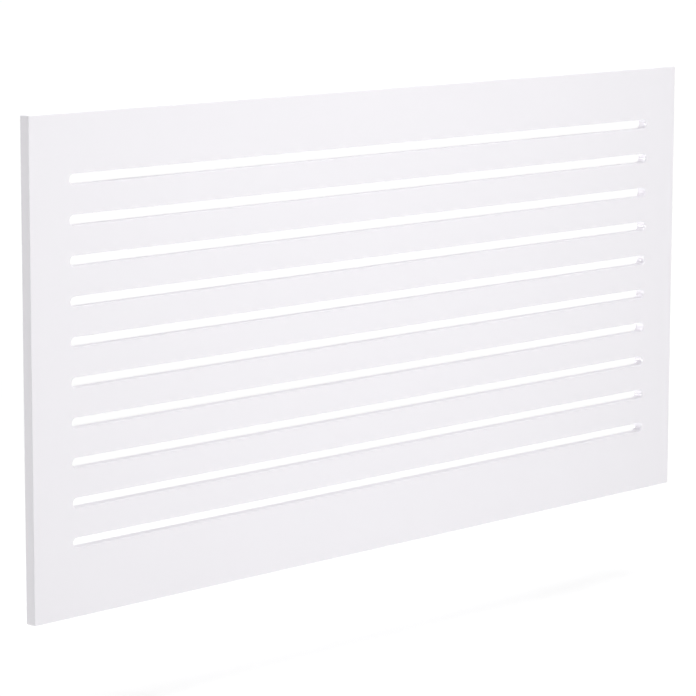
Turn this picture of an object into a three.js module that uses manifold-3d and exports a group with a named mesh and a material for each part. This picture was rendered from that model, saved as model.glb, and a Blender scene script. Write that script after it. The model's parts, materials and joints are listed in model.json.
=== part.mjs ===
// Hang-on radiator cover: a flat board of lacquered MDF with ten long air slots, hung on the radiator's top
// edge by two adjustable hooks and held off its front by two adjustable rubber stops.
//
// Millimetres. +X is to the right as seen from the front, +Y goes back towards the wall, +Z is up. The origin
// lies midway between the two hooks, on the radiator's top edge: Z = 0 is the plane that the hooks rest on
// and Y = 0 the middle of the edge under them.

import * as THREE from 'three';
import { mergeVertices } from 'three/addons/utils/BufferGeometryUtils.js';
import Module from 'manifold-3d';

const wasm = await Module();
wasm.setup();

// ---------------------------------------------------------------- driving dimensions

// Gap left between pieces that touch or slide on each other.
const FIT = 0.3;

const panel = {
	width: 1200,
	height: 600,
	thickness: 15,
	cornerRadius: 2,
	arris: 1.5, // rounding of every edge, round the slots too
};

const slots = {
	height: 12,
	pitch: 48,
	topMargin: 72,
	leastBottomMargin: 80,
	sideMargin: 62.5,
};

// The panel's top edge stands this far above the radiator's.
const topAboveSeat = 60;

// Each pair of brackets stands this far to either side of the middle.
const hangerSpread = 400;
const stopSpread = 400;

// How far an arm slides from its shortest to its longest.
const travel = 20;

const bracket = {
	width: 28,
	thickness: 2.5,
	bendRadius: 2,
	panelLeg: 42,
	endLand: 4,
	cornerRadius: 5,
	screwNear: 16, // from the bend's outside to the first screw
	screwPitch: 17,
};

const arm = {
	width: 20,
	thickness: 3,
	bendRadius: 3,
	frontLand: 9, // from the bolt's axis to the arm's front end
	cornerRadius: 4,
};

const hook = {
	throat: 14, // room for the radiator's edge
	drop: 22,
	sleeveWall: 1.5,
	sleeveRounding: 0.8,
	sleeveTipRadius: 2,
	sleeveClearance: 1, // from the bracket's end to the sleeve, with the arm pushed right in
};

const stop = {
	belowSlot: 15.5, // from the lowest slot down to the bracket's top
	tabDrop: 26,
	bumperDrop: 14,
	bumperRadius: 9,
	bumperFaceRadius: 7,
	bumperThickness: 8,
	stemRadius: 3,
	barbRadius: 4.5,
	barbThickness: 2.5,
};

const bolt = {
	radius: 3,
	headRadius: 7.5,
	headHeight: 3.2,
	neckHalf: 3.1,
	neckLength: 2.2,
	chamfer: 0.7,
	beyondNut: 3,
};

const washer = {
	radius: 9,
	thickness: 1.6,
};

const wingNut = {
	hubRadius: 6,
	hubTopRadius: 5.2,
	hubHeight: 6,
	footHeight: 1, // straight foot of the hub, under the wings
	span: 26,
	wingHeight: 12,
	wingThickness: 2.2,
	wingRadius: 3,
	tipSweep: 144, // degrees of the wing's round tip
	fingerGap: 1.2, // clear space beside the turning wings
};

const screw = {
	headRadius: 3.5,
	shankRadius: 1.75,
	depthInPanel: 9,
	pointLength: 3,
	lip: 0.3, // straight rim of the head
};

// ---------------------------------------------------------------- fineness of the curves

// An arc of a slot or a bend gets twice this many chords.
const arcSteps = 4;
const roundingSteps = 3;
const domeSteps = 4;
const roundSteps = 24;
const screwSteps = 16;

// Cutters run this far past the faces that they open.
const OVER = 1;

// Points closer than this are one point.
const WELD = 1e-4;

// ---------------------------------------------------------------- sizes that follow

const holeRadius = bolt.radius + FIT;
const neckHole = bolt.neckHalf + FIT;

// A slot's round end has to clear the corners of the bolt's square neck.
const neckRelief = bolt.neckHalf - Math.sqrt(neckHole ** 2 - bolt.neckHalf ** 2) + FIT;
const clampSlotHalf = travel / 2 + neckRelief;

// Distances behind the panel's back face.
const bracketBack = FIT;
const boltBehind = bracketBack + bracket.thickness + wingNut.fingerGap + wingNut.span / 2 + travel / 2;
const bracketReach = boltBehind + clampSlotHalf + neckHole + bracket.endLand;
const standOff = bracketReach + travel / 2 + hook.sleeveClearance;

const backY = -( standOff + hook.throat / 2 );
const frontY = backY - panel.thickness;
const topZ = topAboveSeat;
const bottomZ = topZ - panel.height;
const middleZ = ( topZ + bottomZ ) / 2;
const boltY = backY + boltBehind;

const slotLength = panel.width - 2 * slots.sideMargin;
const slotRoom = panel.height - slots.topMargin - slots.leastBottomMargin - slots.height;
const slotCount = Math.floor( slotRoom / slots.pitch ) + 1;
const lowestSlotZ = topZ - slots.topMargin - ( slotCount - 1 ) * slots.pitch - slots.height;

// Heights of the upper stack, from the hooks' seat up.
const hookArmBottom = hook.sleeveWall + FIT;
const hookArmTop = hookArmBottom + arm.thickness;
const hangerLegBottom = hookArmTop + FIT;
const hangerLegTop = hangerLegBottom + bracket.thickness;

// Heights of the lower stack, from the bracket's top down.
const stopLegTop = lowestSlotZ - stop.belowSlot;
const stopLegBottom = stopLegTop - bracket.thickness;
const stopArmTop = stopLegBottom - FIT;
const stopArmBottom = stopArmTop - arm.thickness;

// The bolt holds four pieces on its head, each with its own gap.
const clampedStack = arm.thickness + bracket.thickness + washer.thickness + wingNut.hubHeight + 4 * FIT;
const boltLength = clampedStack + bolt.beyondNut;

// Heights of the bracket screws, by bracket: up from a hanger's bend, down from a stop's.
const screwOffsets = [ bracket.screwNear, bracket.screwNear + bracket.screwPitch ];
const hangerScrewZ = screwOffsets.map( ( offset ) => hangerLegBottom + offset );
const stopScrewZ = screwOffsets.map( ( offset ) => stopLegTop - offset );

// From the bolt's axis back to the outside of each arm's bend.
const hookReach = standOff + hook.throat + hook.sleeveWall + FIT + arm.thickness - boltBehind;
const stopTabFace = standOff - stop.bumperThickness - FIT - boltBehind;

const screwHeadDepth = screw.lip + screw.headRadius - screw.shankRadius;
const screwLength = bracketBack + bracket.thickness + screw.depthInPanel;

// ---------------------------------------------------------------- solids: joining and cutting

function toSolid( geometry ) {

	const bare = geometry.clone();
	bare.deleteAttribute( 'normal' );
	bare.deleteAttribute( 'uv' );
	const merged = mergeVertices( bare, WELD );
	return new wasm.Manifold( new wasm.Mesh( {
		numProp: 3,
		vertProperties: new Float32Array( merged.attributes.position.array ),
		triVerts: new Uint32Array( merged.index.array ),
	} ) );

}

function toGeometry( solid ) {

	const mesh = solid.getMesh();
	const corners = new THREE.BufferAttribute( new Float32Array( mesh.vertProperties ), 3 );
	const geometry = new THREE.BufferGeometry();
	geometry.setAttribute( 'position', corners );
	geometry.setIndex( new THREE.BufferAttribute( new Uint32Array( mesh.triVerts ), 1 ) );
	geometry.computeVertexNormals();
	return geometry;

}

function cut( body, cutters ) {

	const subtract = ( solid, cutter ) => solid.subtract( toSolid( cutter ) );
	return toGeometry( cutters.reduce( subtract, toSolid( body ) ) );

}

function join( bodies ) {

	const [ first, ...others ] = bodies.map( toSolid );
	return toGeometry( others.reduce( ( solid, other ) => solid.add( other ), first ) );

}

function common( a, b ) {

	return toGeometry( toSolid( a ).intersect( toSolid( b ) ) );

}

// ---------------------------------------------------------------- outlines

function roundedRectangle( width, height, radius ) {

	const x = width / 2 - radius;
	const y = height / 2 - radius;
	const shape = new THREE.Shape();
	shape.absarc( x, y, radius, 0, Math.PI / 2 );
	shape.absarc( - x, y, radius, Math.PI / 2, Math.PI );
	shape.absarc( - x, - y, radius, Math.PI, Math.PI * 1.5 );
	shape.absarc( x, - y, radius, Math.PI * 1.5, Math.PI * 2 );
	shape.closePath();
	return shape;

}

// A slot with round ends along X, its middle at height `y` of the drawing.
function slotOutline( length, height, y = 0 ) {

	const radius = height / 2;
	const x = length / 2 - radius;
	const outline = new THREE.Shape();
	outline.absarc( x, y, radius, - Math.PI / 2, Math.PI / 2 );
	outline.absarc( - x, y, radius, Math.PI / 2, Math.PI * 1.5 );
	outline.closePath();
	return outline;

}

// Side view of a strip that runs back from `start` to `end` with its top at 0, turns down with a rounded bend
// and ends at `bottom`. The strip and its bend can be grown by `grow`, and the corners of its tip rounded.
function bentStripOutline( start, end, bottom, thickness, bendRadius, grow = 0, tipRadius = 0 ) {

	const centreY = end - thickness - bendRadius;
	const centreZ = - thickness - bendRadius;
	const tipFront = end - thickness - grow;
	const tipBack = end + grow;
	const tipBottom = bottom - grow;
	const shape = new THREE.Shape();
	shape.moveTo( start, grow );
	shape.lineTo( start, - thickness - grow );
	shape.absarc( centreY, centreZ, bendRadius - grow, Math.PI / 2, 0, true );
	if ( tipRadius > 0 ) {

		const tipZ = tipBottom + tipRadius;
		shape.absarc( tipFront + tipRadius, tipZ, tipRadius, Math.PI, Math.PI * 1.5 );
		shape.absarc( tipBack - tipRadius, tipZ, tipRadius, Math.PI * 1.5, Math.PI * 2 );

	} else {

		shape.lineTo( tipFront, tipBottom );
		shape.lineTo( tipBack, tipBottom );

	}

	shape.absarc( centreY, centreZ, bendRadius + thickness + grow, 0, Math.PI / 2 );
	shape.closePath();
	return shape;

}

// ---------------------------------------------------------------- extrusions and revolves

// Extrudes an outline from 0 to `depth` across its own drawing, with its edges rounded by `rounding`.
function extrude( shape, depth, rounding = 0 ) {

	const geometry = new THREE.ExtrudeGeometry( shape, {
		depth: depth - 2 * rounding,
		bevelEnabled: rounding > 0,
		bevelThickness: rounding,
		bevelSize: rounding,
		bevelOffset: - rounding,
		bevelSegments: roundingSteps,
		curveSegments: arcSteps,
	} );
	return geometry.translate( 0, 0, rounding );

}

// Extrudes an outline drawn in X and Z towards the front, from `back` (a place on Y) by `depth`.
function extrudeToFront( shape, back, depth, rounding = 0 ) {

	return extrude( shape, depth, rounding ).rotateX( Math.PI / 2 ).translate( 0, back, 0 );

}

// Extrudes an outline drawn in X and Y upwards, from `bottom` by `depth`.
function extrudeUp( shape, bottom, depth ) {

	return extrude( shape, depth ).translate( 0, 0, bottom );

}

// Extrudes a side view drawn in Y and Z across the width, centred on X = 0.
function extrudeAcross( shape, width, rounding = 0 ) {

	const geometry = extrude( shape, width, rounding ).translate( 0, 0, - width / 2 );
	// the drawing's X and Y become the part's Y and Z, and the extrusion runs along X
	return geometry.applyMatrix4( new THREE.Matrix4().makeBasis(
		new THREE.Vector3( 0, 1, 0 ),
		new THREE.Vector3( 0, 0, 1 ),
		new THREE.Vector3( 1, 0, 0 ),
	) );

}

// Revolves [radius, height] pairs about Z.
function revolve( profile, steps ) {

	const points = profile.map( ( [ radius, height ] ) => new THREE.Vector2( radius, height ) );
	return new THREE.LatheGeometry( points, steps ).rotateX( Math.PI / 2 );

}

function cylinder( radius, from, to, steps ) {

	return revolve( [ [ 0, from ], [ radius, from ], [ radius, to ], [ 0, to ] ], steps );

}

// Lays a piece that stands on Z along Y, with its top end to the back.
function laidBack( geometry ) {

	return geometry.rotateX( - Math.PI / 2 );

}

// ---------------------------------------------------------------- the board

function makePanel() {

	const outline = roundedRectangle( panel.width, panel.height, panel.cornerRadius );
	for ( let k = 0; k < slotCount; k ++ ) {

		const z = panel.height / 2 - slots.topMargin - slots.height / 2 - k * slots.pitch;
		outline.holes.push( slotOutline( slotLength, slots.height, z ) );

	}

	const board = extrudeToFront( outline, backY, panel.thickness, panel.arris );
	board.translate( 0, 0, middleZ );

	const pilots = [];
	for ( const [ spread, heights ] of [ [ hangerSpread, hangerScrewZ ], [ stopSpread, stopScrewZ ] ] ) {

		for ( const x of [ - spread, spread ] ) {

			for ( const z of heights ) {

				const bottom = - screw.depthInPanel - 2 * FIT;
				const pilot = laidBack( cylinder( screw.shankRadius + FIT, bottom, OVER, screwSteps ) );
				pilots.push( pilot.translate( x, backY, z ) );

			}

		}

	}

	return cut( board, pilots );

}

// ---------------------------------------------------------------- brackets, arms and their ends

// A bent angle: its outside corner is at the origin, one leg runs back along Y and the other stands up on Z.
function makeBracket() {

	const reach = bracketReach - bracketBack;
	const side = bentStripOutline( - bracket.panelLeg, 0, - reach, bracket.thickness, bracket.bendRadius );
	const angle = extrudeAcross( side, bracket.width );
	// the outline runs level and turns down; turned over, it stands up and turns back
	angle.rotateX( - Math.PI / 2 );
	angle.rotateZ( Math.PI );

	// each leg's outline goes on past the bend, so that only its free end gets round corners
	const standing = roundedRectangle( bracket.width, 2 * bracket.panelLeg, bracket.cornerRadius );
	const level = roundedRectangle( bracket.width, 2 * reach, bracket.cornerRadius );
	const trimmed = common(
		common( angle, extrudeToFront( standing, reach + OVER, reach + 2 * OVER ) ),
		extrudeUp( level, - OVER, bracket.panelLeg + 2 * OVER ),
	);

	const clampSlot = slotOutline( 2 * ( clampSlotHalf + neckHole ), 2 * neckHole );
	const slotCutter = extrudeUp( clampSlot, - OVER, bracket.thickness + 2 * OVER );
	slotCutter.rotateZ( Math.PI / 2 );
	slotCutter.translate( 0, boltBehind - bracketBack, 0 );

	const countersinks = screwOffsets.map( ( offset ) =>
		makeCountersink().translate( 0, bracket.thickness, offset ) );

	return cut( trimmed, [ slotCutter, ...countersinks ] );

}

// Countersunk screw along Y, its point to the front and its head's face at Y = 0.
function makeScrew() {

	return laidBack( revolve( [
		[ 0, - screwLength ],
		[ screw.shankRadius, - screwLength + screw.pointLength ],
		[ screw.shankRadius, - screwHeadDepth ],
		[ screw.headRadius, - screw.lip ],
		[ screw.headRadius, 0 ],
		[ 0, 0 ],
	], screwSteps ) );

}

// Cutter for the hole and countersink that such a screw sits in, through the bracket's leg.
function makeCountersink() {

	const shank = screw.shankRadius + FIT;
	const head = screw.headRadius + FIT;
	return laidBack( revolve( [
		[ 0, - bracket.thickness - OVER ],
		[ shank, - bracket.thickness - OVER ],
		[ shank, - screwHeadDepth ],
		[ head, - screw.lip ],
		[ head, OVER ],
		[ 0, OVER ],
	], screwSteps ) );

}

// A strip from its front end by the bolt to the outside of its bend, with its top at Z = 0 and the bolt's
// axis at Y = 0. `reach` is from the bolt to the bend's outside, `drop` the tab's length below the strip.
function makeArm( reach, drop, openings ) {

	const bottom = - arm.thickness - drop;
	const side = bentStripOutline( - arm.frontLand, reach, bottom, arm.thickness, arm.bendRadius );
	const strip = extrudeAcross( side, arm.width );

	// each outline goes on past the bend, so that only the free end gets round corners
	const past = arm.cornerRadius + OVER;
	const plan = roundedRectangle( arm.width, arm.frontLand + reach + past, arm.cornerRadius );
	const planCutter = extrudeUp( plan, bottom - OVER, - bottom + 2 * OVER );
	planCutter.translate( 0, ( reach + past - arm.frontLand ) / 2, 0 );
	const tab = roundedRectangle( arm.width, past - bottom, arm.cornerRadius );
	const tabCutter = extrudeToFront( tab, reach + OVER, arm.frontLand + reach + 2 * OVER );
	tabCutter.translate( 0, 0, ( past + bottom ) / 2 );

	return cut( common( common( strip, planCutter ), tabCutter ), openings );

}

// The hook's arm has a square hole, which keeps the bolt from turning.
function makeHookArm() {

	const neckSide = 2 * neckHole;
	const squareHole = new THREE.BoxGeometry( neckSide, neckSide, arm.thickness + 2 * OVER );
	squareHole.translate( 0, 0, - arm.thickness / 2 );
	return makeArm( hookReach, hook.drop, [ squareHole ] );

}

function makeHookSleeve() {

	const wall = FIT + hook.sleeveWall;
	const mouth = standOff - boltBehind;
	const bottom = - arm.thickness - hook.drop;
	const outline = ( start, ...growing ) =>
		bentStripOutline( start, hookReach, bottom, arm.thickness, arm.bendRadius, ...growing );
	const outside = extrudeAcross(
		outline( mouth, wall, hook.sleeveTipRadius ), arm.width + 2 * wall, hook.sleeveRounding,
	);
	const inside = extrudeAcross( outline( mouth - OVER, FIT ), arm.width + 2 * FIT );
	return cut( outside, [ inside ] );

}

// The stop's arm has a round hole for the bolt and one in its tab for the bumper's stem.
function makeStopArm() {

	const boltHole = cylinder( holeRadius, - arm.thickness - OVER, OVER, roundSteps );
	const stemHole = laidBack( cylinder( stop.stemRadius + FIT, - arm.thickness - OVER, OVER, roundSteps ) );
	stemHole.translate( 0, stopTabFace, - arm.thickness - stop.bumperDrop );
	return makeArm( stopTabFace, stop.tabDrop, [ boltHole, stemHole ] );

}

// Push-in bumper along Y: its flat face is at Y = 0, its stem runs to the front through the tab to its barb.
function makeBumper() {

	const seat = - stop.bumperThickness;
	const barb = seat - FIT - arm.thickness - FIT;
	const rim = stop.bumperRadius - stop.bumperFaceRadius;
	return laidBack( revolve( [
		[ 0, barb - stop.barbThickness ],
		[ stop.stemRadius, barb - stop.barbThickness ],
		[ stop.barbRadius, barb ],
		[ stop.stemRadius, barb ],
		[ stop.stemRadius, seat ],
		[ stop.bumperRadius, seat ],
		[ stop.bumperRadius, - rim ],
		[ stop.bumperFaceRadius + rim * Math.SQRT1_2, - rim * ( 1 - Math.SQRT1_2 ) ],
		[ stop.bumperFaceRadius, 0 ],
		[ 0, 0 ],
	], roundSteps ) );

}

// ---------------------------------------------------------------- clamp fasteners

// Mushroom-head bolt along +Z, with the underside of its head at Z = 0 and a square neck over it.
function makeBolt() {

	const dome = Array.from( { length: domeSteps + 1 }, ( _, i ) => {

		const angle = ( i / domeSteps ) * Math.PI / 2;
		return [ bolt.headRadius * Math.sin( angle ), - bolt.headHeight * Math.cos( angle ) ];

	} );
	const body = revolve( [
		...dome,
		[ bolt.radius, 0 ],
		[ bolt.radius, boltLength - bolt.chamfer ],
		[ bolt.radius - bolt.chamfer, boltLength ],
		[ 0, boltLength ],
	], roundSteps );

	const neckBottom = - bolt.headHeight / 4; // inside the head
	const neckHeight = bolt.neckLength - neckBottom;
	const neck = new THREE.BoxGeometry( 2 * bolt.neckHalf, 2 * bolt.neckHalf, neckHeight );
	neck.translate( 0, 0, neckBottom + neckHeight / 2 );
	return join( [ body, neck ] );

}

function makeWasher() {

	return revolve( [
		[ holeRadius, 0 ],
		[ washer.radius, 0 ],
		[ washer.radius, washer.thickness ],
		[ holeRadius, washer.thickness ],
		[ holeRadius, 0 ],
	], roundSteps );

}

// Wing nut along +Z, with its bearing face at Z = 0.
function makeWingNut() {

	const foot = wingNut.footHeight;
	const hub = revolve( [
		[ holeRadius, 0 ],
		[ wingNut.hubRadius, 0 ],
		[ wingNut.hubRadius, foot ],
		[ wingNut.hubTopRadius, wingNut.hubHeight ],
		[ holeRadius, wingNut.hubHeight ],
		[ holeRadius, 0 ],
	], roundSteps );

	// each wing is drawn from inside the hub's wall, out under its tip, round it and back over it
	const root = ( holeRadius + wingNut.hubTopRadius ) / 2;
	const tipX = wingNut.span / 2 - wingNut.wingRadius;
	const tipZ = wingNut.wingHeight - wingNut.wingRadius;
	const wing = new THREE.Shape();
	wing.moveTo( root, foot );
	wing.quadraticCurveTo( tipX, foot, tipX + wingNut.wingRadius, tipZ );
	wing.absarc( tipX, tipZ, wingNut.wingRadius, 0, THREE.MathUtils.degToRad( wingNut.tipSweep ) );
	wing.quadraticCurveTo( wingNut.hubRadius, wingNut.hubHeight, root, wingNut.hubHeight - foot );
	wing.closePath();

	const wings = [ 0, Math.PI ].map( ( turn ) =>
		extrudeToFront( wing, wingNut.wingThickness / 2, wingNut.wingThickness ).rotateZ( turn ) );
	return join( [ hub, ...wings ] );

}

// ---------------------------------------------------------------- materials and assembly

const finishes = {
	lacquer: { color: 0xf3f2f4, roughness: 0.45, metalness: 0 },
	zinc: { color: 0xb9bdc1, roughness: 0.35, metalness: 1 },
	sleeve: { color: 0xe9e9e6, roughness: 0.55, metalness: 0 },
	rubber: { color: 0x2b2b2d, roughness: 0.85, metalness: 0 },
};

const cover = new THREE.Group();

function place( parent, name, geometry, finish, position = [ 0, 0, 0 ] ) {

	const mesh = new THREE.Mesh( geometry, new THREE.MeshStandardMaterial( finishes[ finish ] ) );
	mesh.name = name;
	mesh.position.set( ...position );
	parent.add( mesh );

}

// A kit's own origin is on its bolt's axis, level with the hooks' seat.
function addKit( x ) {

	const kit = new THREE.Group();
	kit.position.set( x, boltY, 0 );
	cover.add( kit );
	return kit;

}

place( cover, 'panel', makePanel(), 'lacquer' );

const bracketGeometry = makeBracket();
const screwGeometry = makeScrew();
const hookArmGeometry = makeHookArm();
const hookSleeveGeometry = makeHookSleeve();
const boltGeometry = makeBolt();
const washerGeometry = makeWasher();
const wingNutGeometry = makeWingNut();

// The lower kit stands on its head: its bracket turned about Y, its fasteners about X.
const stopBracketGeometry = bracketGeometry.clone().rotateY( Math.PI );
const stopBoltGeometry = boltGeometry.clone().rotateX( Math.PI );
const stopWasherGeometry = washerGeometry.clone().rotateX( Math.PI );
const stopWingNutGeometry = wingNutGeometry.clone().rotateX( Math.PI );
const stopArmGeometry = makeStopArm();
const bumperGeometry = makeBumper();

const bracketY = bracketBack - boltBehind;
const screwY = bracketY + bracket.thickness;

function addHanger( side, x ) {

	const kit = addKit( x );
	const washerZ = hangerLegTop + FIT;
	const nutZ = washerZ + washer.thickness + FIT;
	place( kit, `hanger_bracket_${ side }`, bracketGeometry, 'zinc', [ 0, bracketY, hangerLegBottom ] );
	place( kit, `hook_arm_${ side }`, hookArmGeometry, 'zinc', [ 0, 0, hookArmTop ] );
	place( kit, `hook_sleeve_${ side }`, hookSleeveGeometry, 'sleeve', [ 0, 0, hookArmTop ] );
	place( kit, `hanger_bolt_${ side }`, boltGeometry, 'zinc', [ 0, 0, hookArmBottom - FIT ] );
	place( kit, `hanger_washer_${ side }`, washerGeometry, 'zinc', [ 0, 0, washerZ ] );
	place( kit, `hanger_wing_nut_${ side }`, wingNutGeometry, 'zinc', [ 0, 0, nutZ ] );
	place( kit, `hanger_screw_${ side }_lower`, screwGeometry, 'zinc', [ 0, screwY, hangerScrewZ[ 0 ] ] );
	place( kit, `hanger_screw_${ side }_upper`, screwGeometry, 'zinc', [ 0, screwY, hangerScrewZ[ 1 ] ] );

}

function addStop( side, x ) {

	const kit = addKit( x );
	const washerZ = stopArmBottom - FIT;
	const nutZ = washerZ - washer.thickness - FIT;
	const bumperAt = [ 0, standOff - boltBehind, stopArmBottom - stop.bumperDrop ];
	place( kit, `stop_bracket_${ side }`, stopBracketGeometry, 'zinc', [ 0, bracketY, stopLegTop ] );
	place( kit, `stop_arm_${ side }`, stopArmGeometry, 'zinc', [ 0, 0, stopArmTop ] );
	place( kit, `stop_bumper_${ side }`, bumperGeometry, 'rubber', bumperAt );
	place( kit, `stop_bolt_${ side }`, stopBoltGeometry, 'zinc', [ 0, 0, stopLegTop + FIT ] );
	place( kit, `stop_washer_${ side }`, stopWasherGeometry, 'zinc', [ 0, 0, washerZ ] );
	place( kit, `stop_wing_nut_${ side }`, stopWingNutGeometry, 'zinc', [ 0, 0, nutZ ] );
	place( kit, `stop_screw_${ side }_upper`, screwGeometry, 'zinc', [ 0, screwY, stopScrewZ[ 0 ] ] );
	place( kit, `stop_screw_${ side }_lower`, screwGeometry, 'zinc', [ 0, screwY, stopScrewZ[ 1 ] ] );

}

for ( const [ side, direction ] of [ [ 'left', - 1 ], [ 'right', 1 ] ] ) {

	addHanger( side, direction * hangerSpread );
	addStop( side, direction * stopSpread );

}

export default cover;
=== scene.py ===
"""A hang-on radiator cover: a slotted board in satin white lacquer, with its zinc-plated hooks and stops
behind it."""

import json
import math

import bmesh
import bpy
import numpy as np
from mathutils import Matrix, Vector
from mathutils.geometry import tessellate_polygon

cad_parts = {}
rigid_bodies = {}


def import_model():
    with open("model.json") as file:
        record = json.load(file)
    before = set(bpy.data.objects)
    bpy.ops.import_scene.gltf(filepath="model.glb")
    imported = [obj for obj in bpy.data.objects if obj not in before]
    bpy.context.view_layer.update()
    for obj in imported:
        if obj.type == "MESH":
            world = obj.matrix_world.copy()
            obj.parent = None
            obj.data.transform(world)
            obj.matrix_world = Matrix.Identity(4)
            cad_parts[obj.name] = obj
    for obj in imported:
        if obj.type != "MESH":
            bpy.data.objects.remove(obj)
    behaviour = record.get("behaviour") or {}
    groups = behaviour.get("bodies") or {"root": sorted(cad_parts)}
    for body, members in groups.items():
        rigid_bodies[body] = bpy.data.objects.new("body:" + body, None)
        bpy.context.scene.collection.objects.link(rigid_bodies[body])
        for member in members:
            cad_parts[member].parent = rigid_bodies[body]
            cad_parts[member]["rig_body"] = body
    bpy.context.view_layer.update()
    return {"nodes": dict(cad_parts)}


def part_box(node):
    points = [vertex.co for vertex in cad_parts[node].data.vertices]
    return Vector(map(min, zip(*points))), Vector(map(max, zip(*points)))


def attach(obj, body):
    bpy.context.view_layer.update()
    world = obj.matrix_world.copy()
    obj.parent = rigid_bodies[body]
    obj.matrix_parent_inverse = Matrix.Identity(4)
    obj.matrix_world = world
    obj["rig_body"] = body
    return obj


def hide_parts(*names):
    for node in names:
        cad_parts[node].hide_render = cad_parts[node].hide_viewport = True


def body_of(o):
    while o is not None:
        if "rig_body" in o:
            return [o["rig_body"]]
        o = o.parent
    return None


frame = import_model()

MM = 0.001

# ---------------------------------------------------------------- sizes of the board, in metres

PANEL_LOW, PANEL_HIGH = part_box("panel")
SLOT_COUNT = 10
SLOT_HEIGHT = 12 * MM
SLOT_PITCH = 48 * MM
SLOT_TOP_MARGIN = 72 * MM
SLOT_SIDE_MARGIN = 62.5 * MM
CORNER_RADIUS = 2 * MM
CORNER_STEPS = 4
ARRIS = 1.5 * MM  # radius of the eased edges
ARRIS_STEPS = 6
ROUND_STEPS = 24  # steps along a slot's half-round end

# ---------------------------------------------------------------- sizes of the fittings, in metres

TURN_STEPS = 64  # steps round a turned piece
CREST_SHARE, FLANK_SHARE = 0.125, 0.625  # of half a thread's pitch

# the clamp bolts: a mushroom head, a square neck and an M6 thread
HEAD_RADIUS, HEAD_HEIGHT = 7.5 * MM, 3.2 * MM
DOME_START, DOME_ROWS = 0.06, 18  # the dome's first row, as an angle from its pole
NECK_HALF, NECK_LENGTH, NECK_EASE = 3.1 * MM, 2.2 * MM, 0.2 * MM
NECK_POWER = 16  # the higher, the squarer
THREAD_RADIUS, THREAD_PITCH, THREAD_DEPTH = 3 * MM, 1 * MM, 0.58 * MM
BOLT_CHAMFER, BOLT_ROWS = 0.7 * MM, 220

# the washers
WASHER_EASE, WASHER_PLAY = 0.2 * MM, 0.3 * MM

# the countersunk wood screws, and the cross recess in their faces
SCREW_HEAD, SCREW_RIM, SCREW_RIM_EASE = 3.5 * MM, 0.3 * MM, 0.06 * MM
SCREW_SHANK, SCREW_BARE, SCREW_RUN_OUT = 1.75 * MM, 1.2 * MM, 1.5 * MM  # no thread this far below the cone
SCREW_POINT, SCREW_TIP = 3 * MM, 0.1 * MM
SCREW_THREAD, SCREW_PITCH, SCREW_ROWS = 0.4 * MM, 1.4 * MM, 90
RECESS_REACH, RECESS_HALF, RECESS_WALL, RECESS_DEPTH = 2.0 * MM, 0.42 * MM, 0.3 * MM, 1.1 * MM
RECESS_ROWS, RECESS_MIDDLE, RECESS_SLOPE = 40, 0.05 * MM, 0.5

# the bumpers; the barb's stations are a radius and a height above its tip, in millimetres
BARB = (
    (2.2, 0.0),
    (2.8, 0.15),
    (3.1, 0.5),
    (4.35, 2.2),
    (4.5, 2.4),
    (4.4, 2.5),
    (3.0, 2.5),
    (3.0, 5.6),
    (3.3, 6.1),
)
BUMPER_BACK, BUMPER_BACK_EASE, BUMPER_BACK_ROWS = 6.6 * MM, 0.5 * MM, 4
BUMPER_RIM, BUMPER_RIM_ROWS = 2 * MM, 9
BUMPER_DISH, BUMPER_FACE_ROWS = 0.2 * MM, 12
BUMPER_FACE_INSET, BUMPER_FACE_MIDDLE = 2.3 * MM, 0.4 * MM

SHARP_ANGLE = math.radians(38)  # a fitting's edges sharper than this show as edges

# the pressed sheet and the castings, which start from the CAD's shape
WELD = 0.001 * MM
FLAT_ANGLE = math.radians(1.0)
SHEET_EDGE, SHEET_EDGE_STEPS = 0.28 * MM, 3  # easing of a pressed edge
SHEET_EDGE_ANGLE = math.radians(50)
CASTING_VOXEL = 0.2 * MM
CASTING_SMOOTHING, CASTING_PASSES = 0.5, 8


# ---------------------------------------------------------------- small helpers


def linear(hex_colour):
    """sRGB hex to linear RGBA: c/12.92 below 0.04045, else ((c + 0.055)/1.055)^2.4."""
    value = hex_colour.lstrip("#")
    srgb = np.array([int(value[i : i + 2], 16) for i in (0, 2, 4)]) / 255.0
    rgb = np.where(srgb <= 0.04045, srgb / 12.92, ((srgb + 0.055) / 1.055) ** 2.4)
    return (*(float(c) for c in rgb), 1.0)


def new_object(name, vertices, faces, normals=None):
    """A mesh object at the origin from an (n, 3) array and a list of faces, with vertex normals where they
    are known."""
    mesh = bpy.data.meshes.new(name)
    mesh.from_pydata(np.asarray(vertices, float).tolist(), [], faces)
    mesh.validate()
    mesh.update()
    mesh.shade_smooth()
    if normals is not None:
        mesh.normals_split_custom_set_from_vertices(np.asarray(normals, float).tolist())
    piece = bpy.data.objects.new(name, mesh)
    bpy.context.scene.collection.objects.link(piece)
    return piece


# ---------------------------------------------------------------- the board


def rounded_loop(width, height, radius, steps):
    """Rounded rectangle about the origin, anticlockwise: corner centre + radius * (cos a, sin a), a over each
    quarter. Returns the corner centre and the unit normal of each point: point = centre + radius * normal."""
    quarter = np.linspace(0.0, np.pi / 2, steps + 1)
    angles = np.concatenate([quarter + k * np.pi / 2 for k in range(4)])
    signs = np.repeat([[1, 1], [-1, 1], [-1, -1], [1, -1]], steps + 1, axis=0)
    centres = signs * [width / 2 - radius, height / 2 - radius]
    return centres, np.stack([np.cos(angles), np.sin(angles)], axis=1)


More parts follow.
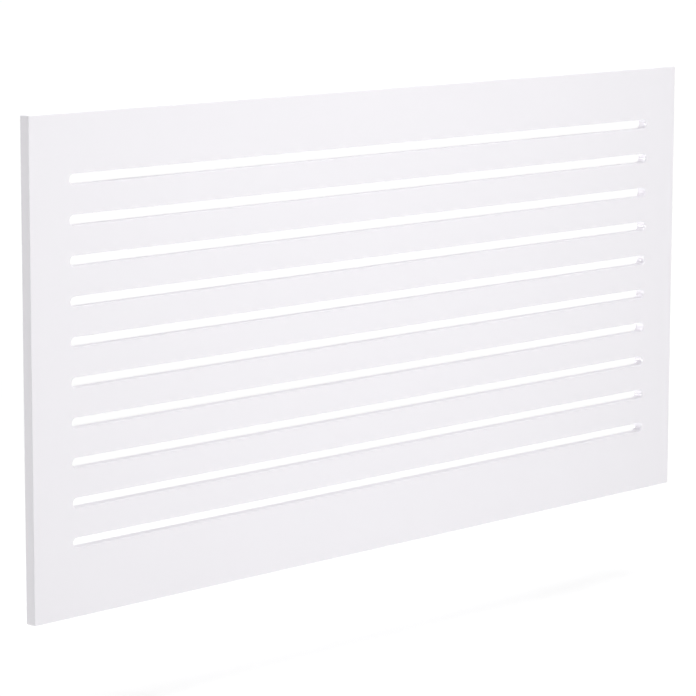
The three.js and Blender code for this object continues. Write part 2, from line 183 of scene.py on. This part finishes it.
def edge_strip(centres, normals, radius, inside_out):
    """The eased edge of the board round one outline. At depth arris * (1 - cos t) from each face the outline
    is inset by arris * (1 - sin t), t over a quarter turn; a hole's outline grows where the outer one
    shrinks. Returns grids of points and normals, whose rows go from the front face to the back."""
    turn = np.linspace(0.0, np.pi / 2, ARRIS_STEPS + 1)
    thickness = PANEL_HIGH.y - PANEL_LOW.y
    inset = ARRIS * (1 - np.sin(turn))
    depth = ARRIS * (1 - np.cos(turn))
    inset = np.concatenate([inset, inset[::-1]])
    depth = np.concatenate([depth, thickness - depth[::-1]])
    along = np.concatenate([-np.cos(turn), np.cos(turn)[::-1]])
    across = np.concatenate([np.sin(turn), np.sin(turn)[::-1]])
    sign = -1.0 if inside_out else 1.0
    flat = centres[None] + (radius - sign * inset)[:, None, None] * normals[None]
    points = np.stack([flat[..., 0], np.broadcast_to(depth[:, None], flat.shape[:2]), flat[..., 1]], axis=-1)
    out = sign * across[:, None, None] * normals[None]
    directions = np.stack([out[..., 0], np.broadcast_to(along[:, None], out.shape[:2]), out[..., 1]], axis=-1)
    return points, directions


def make_board():
    """The board: an eased strip round its outline and each slot, and the two faces filled between the
    strips."""
    width = PANEL_HIGH.x - PANEL_LOW.x
    height = PANEL_HIGH.z - PANEL_LOW.z
    middle = (PANEL_LOW + PANEL_HIGH) / 2
    outline = rounded_loop(width, height, CORNER_RADIUS, CORNER_STEPS)
    outlines = [(*outline, CORNER_RADIUS, False, middle.z)]
    slot_length = width - 2 * SLOT_SIDE_MARGIN
    for k in range(SLOT_COUNT):
        z = PANEL_HIGH.z - SLOT_TOP_MARGIN - SLOT_HEIGHT / 2 - k * SLOT_PITCH
        radius = SLOT_HEIGHT / 2
        outline = rounded_loop(slot_length, SLOT_HEIGHT, radius, ROUND_STEPS // 2)
        outlines.append((*outline, radius, True, z))

    points, directions, faces, rims = [], [], [], []
    start = 0
    for centres, normals, radius, inside_out, z in outlines:
        if inside_out:
            # a slot's quarters meet in one point at each end
            quarter = len(centres) // 4
            keep = np.delete(np.arange(len(centres)), [2 * quarter, 4 * quarter - 1])
            centres, normals = centres[keep], normals[keep]
        grid, facing = edge_strip(centres, normals, radius, inside_out)
        rows, columns = grid.shape[:2]
        grid = grid + [middle.x, PANEL_LOW.y, z]
        index = start + np.arange(rows * columns).reshape(rows, columns)
        a, b = index[:-1], index[1:]
        a_next, b_next = np.roll(a, -1, axis=1), np.roll(b, -1, axis=1)
        order = (a, a_next, b_next, b) if inside_out else (a, b, b_next, a_next)
        faces += np.stack(order, axis=-1).reshape(-1, 4).tolist()
        points.append(grid.reshape(-1, 3))
        directions.append(facing.reshape(-1, 3))
        rims.append((index[0], index[-1]))
        start += rows * columns

    points = np.concatenate(points)
    for side in (0, 1):
        rings = [rim[side] for rim in rims]
        index = np.concatenate(rings)
        loops = [[Vector((points[i, 0], points[i, 2])) for i in ring] for ring in rings]
        triangles = np.array(tessellate_polygon(loops))
        corners = points[index[triangles]][:, :, [0, 2]]
        first, second = corners[:, 1] - corners[:, 0], corners[:, 2] - corners[:, 0]
        clockwise = first[:, 0] * second[:, 1] < first[:, 1] * second[:, 0]
        # anticlockwise from the front faces the front
        turned = clockwise if side == 0 else ~clockwise
        triangles[turned] = triangles[turned][:, ::-1]
        faces += index[triangles].tolist()

    board = new_object("board", points, faces, np.concatenate(directions))
    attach(board, "cover")
    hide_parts("panel")
    return board


# ---------------------------------------------------------------- turned and threaded fittings

STANDING = np.eye(3)
UPSIDE_DOWN = np.diag([1.0, -1.0, -1.0])
# what points up comes to point to +Y
LAID_BACK = np.array([[1.0, 0.0, 0.0], [0.0, 0.0, 1.0], [0.0, -1.0, 0.0]])


def turn_angles():
    """The angle of each point round a turned piece."""
    return np.linspace(0.0, 2 * np.pi, TURN_STEPS, endpoint=False)


def turned_surface(radius, height, ring=False):
    """Points (radius * cos a, radius * sin a, height) over stations that run up the outside and angles a
    round Z. Radius and height are one value a station, or a row of values round the turn. The ends close in
    a pole each, or a ring's last station meets its first."""
    angles = turn_angles()
    if np.ndim(radius) == 1:
        radius = np.asarray(radius)[:, None]
    if np.ndim(height) == 1:
        height = np.asarray(height)[:, None]
    radius = np.broadcast_to(radius, (len(height), TURN_STEPS))
    height = np.broadcast_to(height, radius.shape)
    points = np.stack([radius * np.cos(angles), radius * np.sin(angles), height], axis=-1).reshape(-1, 3)
    index = np.arange(radius.size).reshape(radius.shape)
    low, high = (index, np.roll(index, -1, axis=0)) if ring else (index[:-1], index[1:])
    sides = np.stack([low, np.roll(low, -1, axis=1), np.roll(high, -1, axis=1), high], axis=-1)
    faces = sides.reshape(-1, 4).tolist()
    if not ring:
        poles = [[0.0, 0.0, height[0].mean()], [0.0, 0.0, height[-1].mean()]]
        bottom, top = np.full(TURN_STEPS, len(points)), np.full(TURN_STEPS, len(points) + 1)
        faces += np.stack([bottom, np.roll(index[0], -1), index[0]], axis=-1).tolist()
        faces += np.stack([top, index[-1], np.roll(index[-1], -1)], axis=-1).tolist()
        points = np.concatenate([points, poles])
    return points, faces


def thread_radius(height, crest, depth, pitch):
    """Radius of a right-hand V thread on a grid of heights and angles: away from the crest's middle, in half
    pitches, it stays on the crest for an eighth, falls evenly and stays in the root for a quarter."""
    away = np.abs(2.0 * ((height[:, None] / pitch - turn_angles() / (2 * np.pi)) % 1.0) - 1.0)
    return crest - depth * np.clip((away - CREST_SHARE) / FLANK_SHARE, 0.0, 1.0)


def bolt_surface(length):
    """Mushroom-head bolt: a quarter ellipse for the head, a square neck with its corners rounded by a high
    power n, half / (|cos a|^n + |sin a|^n)^(1/n), and an M6 thread that runs out in a chamfer."""
    angles = turn_angles()
    dome = np.linspace(DOME_START, np.pi / 2, DOME_ROWS)
    corners = np.abs(np.cos(angles)) ** NECK_POWER + np.abs(np.sin(angles)) ** NECK_POWER
    square = NECK_HALF / corners ** (1 / NECK_POWER)
    rise = np.linspace(NECK_LENGTH, length, BOLT_ROWS)
    shank = thread_radius(rise, THREAD_RADIUS, THREAD_DEPTH, THREAD_PITCH)
    chamfer = THREAD_RADIUS - np.clip(rise - length + BOLT_CHAMFER, 0.0, None)
    shank = np.minimum(shank, chamfer[:, None])
    head = np.repeat((HEAD_RADIUS * np.sin(dome))[:, None], TURN_STEPS, axis=1)
    radius = np.concatenate([head, [square, square], shank])
    height = np.concatenate([-HEAD_HEIGHT * np.cos(dome), [0.0, NECK_LENGTH - NECK_EASE], rise])
    return turned_surface(radius, height)


def washer_surface(inner, outer, thickness):
    """A flat ring whose four edges are eased."""
    ease = WASHER_EASE
    radius = [inner + ease, outer - ease, outer, outer, outer - ease, inner + ease, inner, inner]
    height = [0.0, 0.0, ease, thickness - ease, thickness, thickness, thickness - ease, ease]
    return turned_surface(np.array(radius), np.array(height), ring=True)


def screw_surface(length):
    """Countersunk wood screw with its face at 0: a threaded point and shank, a cone, a short rim, and a face
    sunk by a cross recess, whose depth grows evenly from its outline's walls and towards the middle."""
    neck = SCREW_RIM + SCREW_HEAD - SCREW_SHANK
    rise = np.linspace(SCREW_TIP - length, -neck - SCREW_RUN_OUT, SCREW_ROWS)
    taper = np.clip((rise + length) / SCREW_POINT, 0.0, 1.0)
    shank = thread_radius(rise, SCREW_SHANK, SCREW_THREAD, SCREW_PITCH) * taper[:, None]
    body = [
        (SCREW_SHANK, -neck - SCREW_BARE),
        (SCREW_SHANK, -neck),
        (SCREW_HEAD, -SCREW_RIM),
        (SCREW_HEAD, -SCREW_RIM_EASE),
    ]
    out = np.linspace(SCREW_HEAD - SCREW_RIM_EASE, RECESS_MIDDLE, RECESS_ROWS)
    x = np.abs(out[:, None] * np.cos(turn_angles()))
    y = np.abs(out[:, None] * np.sin(turn_angles()))
    # how far a point lies outside each bar of the cross; the nearer bar counts
    lying = np.maximum(x - RECESS_REACH, y - RECESS_HALF)
    upright = np.maximum(y - RECESS_REACH, x - RECESS_HALF)
    outside = np.minimum(lying, upright)
    middle_share = 1 - RECESS_SLOPE * out[:, None] / RECESS_REACH
    sunk = RECESS_DEPTH * np.clip(-outside / RECESS_WALL, 0.0, 1.0) * middle_share
    wide = np.ones(TURN_STEPS)
    radius = np.concatenate([shank, [r * wide for r, _ in body], out[:, None] * wide])
    height = np.concatenate([rise[:, None] * wide, [z * wide for _, z in body], -sunk])
    return turned_surface(radius, height)


def bumper_surface(length, radius):
    """Push-in bumper with its face at 0: an arrow-head barb, a stem, and a head whose rim is a quarter round
    and whose face is dished by depth * (1 - (r / flat)^2), where flat is the radius inside the rim."""
    back = np.linspace(0.0, np.pi / 2, BUMPER_BACK_ROWS)
    rim = np.linspace(0.0, np.pi / 2, BUMPER_RIM_ROWS)
    face = np.linspace(radius - BUMPER_FACE_INSET, BUMPER_FACE_MIDDLE, BUMPER_FACE_ROWS)
    barb = np.array(BARB) * MM - [0.0, length]
    back_radius = radius - BUMPER_BACK_EASE + BUMPER_BACK_EASE * np.sin(back)
    back_height = BUMPER_BACK - length - BUMPER_BACK_EASE * np.cos(back)
    rim_radius = radius - BUMPER_RIM + BUMPER_RIM * np.cos(rim)
    rim_height = -BUMPER_RIM + BUMPER_RIM * np.sin(rim)
    dish = -BUMPER_DISH * (1 - (face / (radius - BUMPER_RIM)) ** 2)
    radii = np.concatenate([barb[:, 0], back_radius, rim_radius, face])
    heights = np.concatenate([barb[:, 1], back_height, rim_height, dish])
    return turned_surface(radii, heights)


def fit(name, surface, node_name, origin, turn, material):
    """Makes a fitting from its surface, turned and moved to its CAD node's place."""
    points, faces = surface
    piece = new_object(name, points @ turn.T + np.array(origin), faces)
    piece.data.set_sharp_from_angle(angle=SHARP_ANGLE)
    dress(piece, node_name, material)


def softened(name, node_name, material, voxel=None):
    """A copy of a CAD node's own shape, with its loose triangles merged and its flats made whole. Its edges
    are eased by a small bevel, or, for a casting, by remaking its skin in voxels and smoothing them."""
    mesh = frame["nodes"][node_name].data.copy()
    shape = bmesh.new()
    shape.from_mesh(mesh)
    bmesh.ops.remove_doubles(shape, verts=shape.verts, dist=WELD)
    bmesh.ops.dissolve_limit(shape, angle_limit=FLAT_ANGLE, verts=shape.verts, edges=shape.edges)
    shape.to_mesh(mesh)
    shape.free()
    if "custom_normal" in mesh.attributes:
        mesh.attributes.remove(mesh.attributes["custom_normal"])
    mesh.shade_smooth()
    piece = bpy.data.objects.new(name, mesh)
    bpy.context.scene.collection.objects.link(piece)
    if voxel:
        skin = piece.modifiers.new("skin", "REMESH")
        skin.mode = "VOXEL"
        skin.voxel_size = voxel
        skin.use_smooth_shade = True
        smooth = piece.modifiers.new("smooth", "SMOOTH")
        smooth.factor = CASTING_SMOOTHING
        smooth.iterations = CASTING_PASSES
    else:
        ease = piece.modifiers.new("ease", "BEVEL")
        ease.width = SHEET_EDGE
        ease.segments = SHEET_EDGE_STEPS
        ease.limit_method = "ANGLE"
        ease.angle_limit = SHEET_EDGE_ANGLE
        ease.harden_normals = True
        ease.use_clamp_overlap = False
    dress(piece, node_name, material)


def dress(piece, node_name, material):
    """Paints a fitting and puts it in the place of its CAD node, on the same body."""
    paint(piece, material)
    (body,) = body_of(frame["nodes"][node_name])
    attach(piece, body)
    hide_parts(node_name)


def add_fittings(side):
    """Everything behind the board on one side. The lower kit stands on its head."""
    for kit, turn in (("hanger", STANDING), ("stop", UPSIDE_DOWN)):
        bolt, washer = f"{kit}_bolt_{side}", f"{kit}_washer_{side}"
        low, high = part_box(bolt)
        seat = low.z + HEAD_HEIGHT if kit == "hanger" else high.z - HEAD_HEIGHT
        axis = ((low.x + high.x) / 2, (low.y + high.y) / 2)
        length = high.z - low.z - HEAD_HEIGHT
        fit(f"clamp_{bolt}", bolt_surface(length), bolt, (*axis, seat), turn, zinc)
        low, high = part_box(washer)
        ring = washer_surface(THREAD_RADIUS + WASHER_PLAY, (high.x - low.x) / 2, high.z - low.z)
        fit(f"flat_{washer}", ring, washer, (*axis, low.z), STANDING, zinc)
        nut, bracket = f"{kit}_wing_nut_{side}", f"{kit}_bracket_{side}"
        softened(f"cast_{nut}", nut, zinc, voxel=CASTING_VOXEL)
        softened(f"pressed_{bracket}", bracket, zinc)
        for level in ("upper", "lower"):
            screw = f"{kit}_screw_{side}_{level}"
            low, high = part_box(screw)
            middle = (low + high) / 2
            face = (middle.x, high.y, middle.z)
            surface = screw_surface(high.y - low.y)
            fit(f"wood_{screw}", surface, screw, face, LAID_BACK, zinc)
    softened(f"pressed_hook_arm_{side}", f"hook_arm_{side}", zinc)
    softened(f"pressed_stop_arm_{side}", f"stop_arm_{side}", zinc)
    softened(f"moulded_hook_sleeve_{side}", f"hook_sleeve_{side}", plastic)
    bumper = f"stop_bumper_{side}"
    low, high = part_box(bumper)
    middle = (low + high) / 2
    face = (middle.x, high.y, middle.z)
    surface = bumper_surface(high.y - low.y, (high.x - low.x) / 2)
    fit(f"moulded_{bumper}", surface, bumper, face, LAID_BACK, elastomer)


# ---------------------------------------------------------------- materials


def node(tree, kind, links=(), **settings):
    """Adds a node, sets its properties and input values by name, and links (from_node, from_socket,
    to_socket)."""
    added = tree.nodes.new(kind)
    for key, value in settings.items():
        if hasattr(added, key):
            setattr(added, key, value)
        else:
            added.inputs[key.replace("_", " ")].default_value = value
    for source, output, socket in links:
        tree.links.new(source.outputs[output], added.inputs[socket])
    return added


def new_material(name):
    """An empty node material and its Principled shader, already linked to the output."""
    material = bpy.data.materials.new(name)
    material.use_nodes = True
    tree = material.node_tree
    tree.nodes.clear()
    shader = tree.nodes.new("ShaderNodeBsdfPrincipled")
    output = tree.nodes.new("ShaderNodeOutputMaterial")
    tree.links.new(shader.outputs["BSDF"], output.inputs["Surface"])
    return material, tree, shader


def satin_lacquer():
    """Satin polyurethane lacquer sprayed on fibreboard: an even white with the faint, soft unevenness of
    spraying."""
    material, tree, shader = new_material("satin_lacquer_on_fibreboard")
    shader.inputs["Base Color"].default_value = linear("#F4F2F6")
    shader.inputs["IOR"].default_value = 1.5
    place = node(tree, "ShaderNodeTexCoord")
    # overlapping passes of the spray gun, about 60 mm wide, leave the sheen a little uneven
    passes = node(tree, "ShaderNodeTexNoise", [(place, "Object", "Vector")], Scale=16.0, Detail=3.0)
    sheen = node(tree, "ShaderNodeMapRange", [(passes, "Fac", "Value")])
    sheen.inputs["To Min"].default_value = 0.36
    sheen.inputs["To Max"].default_value = 0.50
    tree.links.new(sheen.outputs["Result"], shader.inputs["Roughness"])
    # orange peel, with waves about 4 mm long
    peel = node(tree, "ShaderNodeTexNoise", [(place, "Object", "Vector")], Scale=260.0, Detail=2.0)
    bump = node(tree, "ShaderNodeBump", [(peel, "Fac", "Height")], Strength=0.04, Distance=0.0004)
    tree.links.new(bump.outputs["Normal"], shader.inputs["Normal"])
    return material


def zinc_plate():
    """Bright zinc electroplate on pressed steel: a cool metal with rolling marks that run along the strip."""
    material, tree, shader = new_material("zinc_plated_steel")
    shader.inputs["Metallic"].default_value = 1.0
    place = node(tree, "ShaderNodeTexCoord")
    stretch = node(tree, "ShaderNodeMapping", [(place, "Object", "Vector")])
    stretch.inputs["Scale"].default_value = (1.0, 0.06, 1.0)
    grain = node(tree, "ShaderNodeTexNoise", [(stretch, "Vector", "Vector")], Scale=2500.0, Detail=3.0)
    cloud = node(tree, "ShaderNodeTexNoise", [(place, "Object", "Vector")], Scale=120.0, Detail=2.0)
    tone = node(tree, "ShaderNodeValToRGB", [(cloud, "Fac", "Fac")])
    tone.color_ramp.elements[0].color = linear("#B9BDC2")
    tone.color_ramp.elements[1].color = linear("#D6D8D8")
    gloss = node(tree, "ShaderNodeMapRange", [(grain, "Fac", "Value")])
    gloss.inputs["To Min"].default_value = 0.24
    gloss.inputs["To Max"].default_value = 0.44
    bump = node(tree, "ShaderNodeBump", [(grain, "Fac", "Height")], Strength=0.15, Distance=0.00005)
    tree.links.new(tone.outputs["Color"], shader.inputs["Base Color"])
    tree.links.new(gloss.outputs["Result"], shader.inputs["Roughness"])
    tree.links.new(bump.outputs["Normal"], shader.inputs["Normal"])
    return material


def moulded_plastic():
    """Polyethylene moulding in natural white: waxy and matt, with the fine grain of its mould."""
    material, tree, shader = new_material("moulded_polyethylene")
    shader.inputs["Base Color"].default_value = linear("#E6E5E0")
    shader.inputs["Roughness"].default_value = 0.5
    shader.inputs["IOR"].default_value = 1.51
    place = node(tree, "ShaderNodeTexCoord")
    grain = node(tree, "ShaderNodeTexNoise", [(place, "Object", "Vector")], Scale=1800.0, Detail=2.0)
    bump = node(tree, "ShaderNodeBump", [(grain, "Fac", "Height")], Strength=0.2, Distance=0.00008)
    tree.links.new(bump.outputs["Normal"], shader.inputs["Normal"])
    return material


def rubber():
    """Moulded rubber: nearly black, matt, with a slightly dusty bloom in soft patches."""
    material, tree, shader = new_material("moulded_rubber")
    place = node(tree, "ShaderNodeTexCoord")
    cloud = node(tree, "ShaderNodeTexNoise", [(place, "Object", "Vector")], Scale=300.0, Detail=4.0)
    tone = node(tree, "ShaderNodeValToRGB", [(cloud, "Fac", "Fac")])
    tone.color_ramp.elements[0].color = linear("#232325")
    tone.color_ramp.elements[1].color = linear("#333336")
    tree.links.new(tone.outputs["Color"], shader.inputs["Base Color"])
    shader.inputs["Roughness"].default_value = 0.78
    grain = node(tree, "ShaderNodeTexNoise", [(place, "Object", "Vector")], Scale=3000.0, Detail=2.0)
    bump = node(tree, "ShaderNodeBump", [(grain, "Fac", "Height")], Strength=0.25, Distance=0.00006)
    tree.links.new(bump.outputs["Normal"], shader.inputs["Normal"])
    return material


def paint(piece, material):
    """Gives a piece this one material."""
    piece.data.materials.clear()
    piece.data.materials.append(material)


# ---------------------------------------------------------------- camera, floor and light

# The photograph's camera, fitted to the board's edges and slots: its place from the board's lower left front
# corner in metres, its turn, tilt and roll, and its focal length over the picture's width, both in pixels.
CAMERA_OFFSET = Vector((-2.3677, -2.7661, 0.9029))
CAMERA_YAW = math.radians(46.341)
CAMERA_PITCH = math.radians(8.954)
CAMERA_ROLL = math.radians(-0.155)
FOCAL_WIDTHS = 3171.4 / 696
SENSOR = 36.0
CLIP_END = 200.0


def add_camera():
    """The photograph's camera, as the scene's camera."""
    forward = Vector((
        math.sin(CAMERA_YAW) * math.cos(CAMERA_PITCH),
        math.cos(CAMERA_YAW) * math.cos(CAMERA_PITCH),
        -math.sin(CAMERA_PITCH),
    ))
    level = Vector((math.cos(CAMERA_YAW), -math.sin(CAMERA_YAW), 0.0))
    down = forward.cross(level)
    right = level * math.cos(CAMERA_ROLL) + down * math.sin(CAMERA_ROLL)
    up = -(down * math.cos(CAMERA_ROLL) - level * math.sin(CAMERA_ROLL))
    data = bpy.data.cameras.new("photo_camera")
    data.sensor_fit = "HORIZONTAL"
    data.sensor_width = SENSOR
    data.lens = FOCAL_WIDTHS * SENSOR
    data.clip_end = CLIP_END
    camera = bpy.data.objects.new("photo_camera", data)
    bpy.context.scene.collection.objects.link(camera)
    turn = Matrix((right, up, -forward)).transposed()
    camera.matrix_world = Matrix.Translation(PANEL_LOW + CAMERA_OFFSET) @ turn.to_4x4()
    bpy.context.scene.camera = camera


FLOOR_DROP = 0.14  # the board hangs this far above the floor
FLOOR_SIZE = 60.0
# The lamps light the floor near the board; further off it is lit from below, so that it stays as white.
FLOOR_GLOW_REACH = (0.8, 4.0)
FLOOR_GLOW = (0.157, 0.411)


def add_floor():
    """A plain white floor, lit until it is as white as the picture's background."""
    half = FLOOR_SIZE / 2
    z = PANEL_LOW.z - FLOOR_DROP
    corners = [(-half, -half, z), (half, -half, z), (half, half, z), (-half, half, z)]
    floor = new_object("floor", corners, [(0, 1, 2, 3)])
    material, tree, shader = new_material("white_studio_floor")
    shader.inputs["Base Color"].default_value = linear("#F2F2F2")
    shader.inputs["Roughness"].default_value = 0.9
    shader.inputs["Emission Color"].default_value = (1.0, 1.0, 1.0, 1.0)
    place = node(tree, "ShaderNodeTexCoord")
    reach = node(tree, "ShaderNodeVectorMath", [(place, "Object", 0)], operation="LENGTH")
    glow = node(tree, "ShaderNodeMapRange", [(reach, "Value", "Value")], interpolation_type="SMOOTHSTEP")
    glow.inputs["From Min"].default_value, glow.inputs["From Max"].default_value = FLOOR_GLOW_REACH
    glow.inputs["To Min"].default_value, glow.inputs["To Max"].default_value = FLOOR_GLOW
    tree.links.new(glow.outputs["Result"], shader.inputs["Emission Strength"])
    paint(floor, material)


# The sky's light falls off evenly from its brightest direction to its dimmest one.
SKY_BRIGHT_SIDE = (0.359, 0.435, 0.056)
SKY_DIM = 0.091
SKY_BRIGHT = 1.185
SKY_SEEN = 1.1

# name, place and aim from the board's middle in metres, width and height in metres, beam in degrees, power in
# watts
SOFTBOXES = (
    ("overhead_softbox", (0.0, -0.3, 2.3), (0.0, -0.1, 0.0), (2.0, 2.0), 180, 32.9),
    ("front_softbox", (-0.05, -1.5, 0.2), (-0.05, 0.0, 0.0), (0.8, 0.8), 180, 4.02),
    # a tall strip close behind the board, which shines along the slots on the round walls at their right ends
    ("slot_end_strip", (-0.55, 0.35, 0.0), (0.54, 0.0, 0.0), (0.06, 0.65), 18, 0.1),
)


def add_area(name, place, target, size, beam, power):
    """An oval area light at a place, aimed at a target, and hidden from the camera."""
    data = bpy.data.lights.new(name, "AREA")
    data.shape = "ELLIPSE"
    data.size, data.size_y = size
    data.spread = math.radians(beam)
    data.energy = power
    lamp = bpy.data.objects.new(name, data)
    lamp.visible_camera = False
    lamp.location = place
    lamp.rotation_euler = (Vector(target) - Vector(place)).to_track_quat("-Z", "Y").to_euler()
    bpy.context.scene.collection.objects.link(lamp)


def add_light():
    """White studio: an uneven white sky and three area lights round the board. Seen directly, the sky is
    plain white."""
    world = bpy.data.worlds.new("white_studio")
    bpy.context.scene.world = world
    world.use_nodes = True
    tree = world.node_tree
    tree.nodes.clear()
    direction = node(tree, "ShaderNodeTexCoord")
    facing = node(tree, "ShaderNodeVectorMath", [(direction, "Generated", 0)], operation="DOT_PRODUCT")
    facing.inputs[1].default_value = Vector(SKY_BRIGHT_SIDE).normalized()
    glow = node(tree, "ShaderNodeMapRange", [(facing, "Value", "Value")])
    glow.inputs["From Min"].default_value = -1.0
    glow.inputs["To Min"].default_value = SKY_DIM
    glow.inputs["To Max"].default_value = SKY_BRIGHT
    light = node(tree, "ShaderNodeBackground", [(glow, "Result", "Strength")])
    seen = node(tree, "ShaderNodeBackground")
    seen.inputs["Color"].default_value = (1.0, 1.0, 1.0, 1.0)
    seen.inputs["Strength"].default_value = SKY_SEEN
    light.inputs["Color"].default_value = (1.0, 1.0, 1.0, 1.0)
    path = node(tree, "ShaderNodeLightPath")
    parts = [(path, "Is Camera Ray", 0), (light, "Background", 1), (seen, "Background", 2)]
    mixed = node(tree, "ShaderNodeMixShader", parts)
    node(tree, "ShaderNodeOutputWorld", [(mixed, "Shader", "Surface")])
    middle = (PANEL_LOW + PANEL_HIGH) / 2
    for name, place, aim, size, beam, power in SOFTBOXES:
        add_area(name, middle + Vector(place), middle + Vector(aim), size, beam, power)
    bpy.context.scene.view_settings.view_transform = "Standard"


# ---------------------------------------------------------------- putting it together

lacquer, zinc, plastic, elastomer = satin_lacquer(), zinc_plate(), moulded_plastic(), rubber()
paint(make_board(), lacquer)
FINISH = {"panel": lacquer, "hook_sleeve": plastic, "stop_bumper": elastomer}
for name, cad_node in frame["nodes"].items():
    paint(cad_node, next((m for key, m in FINISH.items() if name.startswith(key)), zinc))
for side in ("left", "right"):
    add_fittings(side)

add_camera()
add_floor()
add_light()
